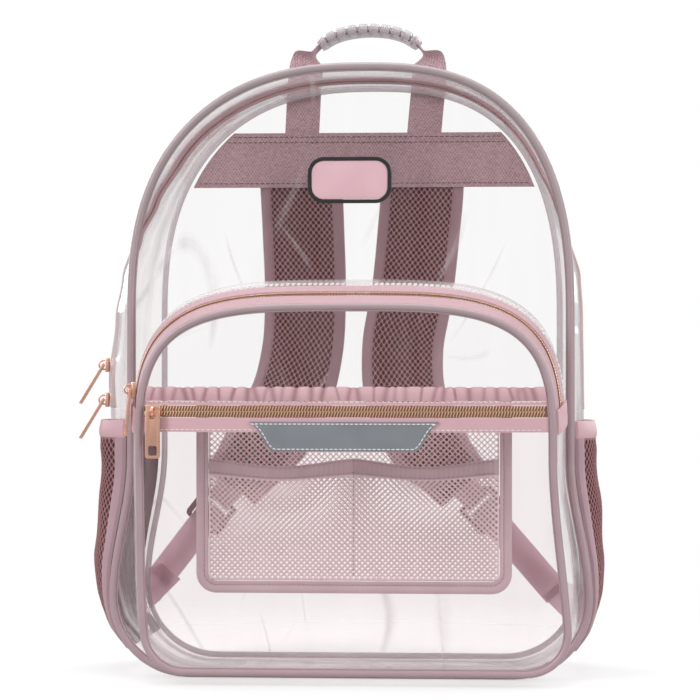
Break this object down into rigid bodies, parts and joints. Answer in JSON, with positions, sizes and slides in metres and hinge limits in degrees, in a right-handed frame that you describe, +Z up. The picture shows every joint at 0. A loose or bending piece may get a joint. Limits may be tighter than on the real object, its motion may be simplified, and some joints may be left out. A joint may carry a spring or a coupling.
{
  "type": "clear backpack",
  "caption": "Clear vinyl backpack with an arched zipped body, zipped front pocket, net side pockets, padded straps and a grab handle.",
  "frame": {"origin": "middle of the body's base, on the floor", "axes": "+Z up, -Y towards the front pocket, +X to the right as seen from the front"},
  "size_m": [0.3723, 0.2287, 0.4655],
  "materials": {
    "clear_vinyl": "glossy clear vinyl with soft creases",
    "mauve_piping": "satin vinyl piping",
    "mauve_tape": "light mauve woven zip tape",
    "rose_gold": "polished rose gold plating",
    "grey_reflective": "grey reflective tape",
    "black_rubber": "matte black rubber",
    "pink_inlay": "satin soft plastic",
    "mauve_net": "open knitted net",
    "mauve_webbing": "ribbed woven webbing",
    "clear_grip": "frosted clear moulded grip",
    "air_mesh": "spacer mesh with bound edges",
    "mauve_plastic": "moulded plastic"
  },
  "bodies": {
    "bag": {"front_panel": "clear_vinyl", "back_panel": "clear_vinyl", "back_binding": "clear_vinyl", "gusset_front_strip": "clear_vinyl", "gusset_back_strip": "clear_vinyl", "lower_gusset": "clear_vinyl", "pocket_top_strip": "clear_vinyl", "pocket_lower_gusset": "clear_vinyl", "pocket_upper_window": "clear_vinyl", "pocket_lower_window": "clear_vinyl", "main_piping": "mauve_piping", "pocket_piping": "mauve_piping", "main_zip_tape_front": "mauve_tape", "main_zip_tape_back": "mauve_tape", "pocket_zip_tape_front": "mauve_tape", "pocket_zip_tape_rear": "mauve_tape", "pocket_zip_end_left": "mauve_tape", "pocket_zip_end_right": "mauve_tape", "pocket_gathered_band": "mauve_tape", "window_zip_tape_upper": "mauve_tape", "window_zip_tape_lower": "mauve_tape", "organizer_binding": "mauve_tape", "organizer_pouch_band": "mauve_tape", "side_pocket_band_left": "mauve_tape", "side_pocket_band_right": "mauve_tape", "main_zip_coil": "rose_gold", "pocket_zip_coil": "rose_gold", "window_zip_coil": "rose_gold", "main_zip_upper_slider": "rose_gold", "main_zip_lower_slider": "rose_gold", "pocket_zip_slider": "rose_gold", "window_zip_slider": "rose_gold", "reflective_patch": "grey_reflective", "badge_rim": "black_rubber", "badge_inlay": "pink_inlay", "organizer_back_net": "mauve_net", "organizer_pouch": "mauve_net", "side_pocket_net_left": "mauve_net", "side_pocket_net_right": "mauve_net", "yoke_band": "mauve_webbing", "handle_webbing": "mauve_webbing", "lower_webbing_left": "mauve_webbing", "lower_webbing_right": "mauve_webbing", "lock_loop_left": "mauve_webbing", "lock_loop_right": "mauve_webbing", "anchor_tab_left": "mauve_webbing", "anchor_tab_right": "mauve_webbing", "handle_grip": "clear_grip", "shoulder_strap_left": "air_mesh", "shoulder_strap_right": "air_mesh", "ladder_lock_left": "mauve_plastic", "ladder_lock_right": "mauve_plastic"},
    "main_zip_upper_pull": {"main_zip_upper_pull": "rose_gold"},
    "main_zip_lower_pull": {"main_zip_lower_pull": "rose_gold"},
    "pocket_zip_pull": {"pocket_zip_pull": "rose_gold"},
    "window_zip_pull": {"window_zip_pull": "rose_gold"}
  },
  "joints": [
    {"name": "main_zip_upper_pull_hinge", "type": "hinge", "parent": "bag", "child": "main_zip_upper_pull", "pos_m": [-0.17947, -0.00823, 0.21615], "axis": [-0.0558, 0.9984, 0], "range_deg": [0, 120]},
    {"name": "main_zip_lower_pull_hinge", "type": "hinge", "parent": "bag", "child": "main_zip_lower_pull", "pos_m": [-0.17953, -0.00822, 0.19136], "axis": [-0.0531, 0.9986, 0], "range_deg": [0, 36]},
    {"name": "pocket_zip_pull_hinge", "type": "hinge", "parent": "bag", "child": "pocket_zip_pull", "pos_m": [-0.14881, -0.09107, 0.19993], "axis": [-0.2317, 0.9728, 0], "range_deg": [0, 140]},
    {"name": "window_zip_pull_hinge", "type": "hinge", "parent": "bag", "child": "window_zip_pull", "pos_m": [-0.12973, -0.1124, 0.1855], "axis": [-1, 0, 0], "range_deg": [0, 150]}
  ]
}
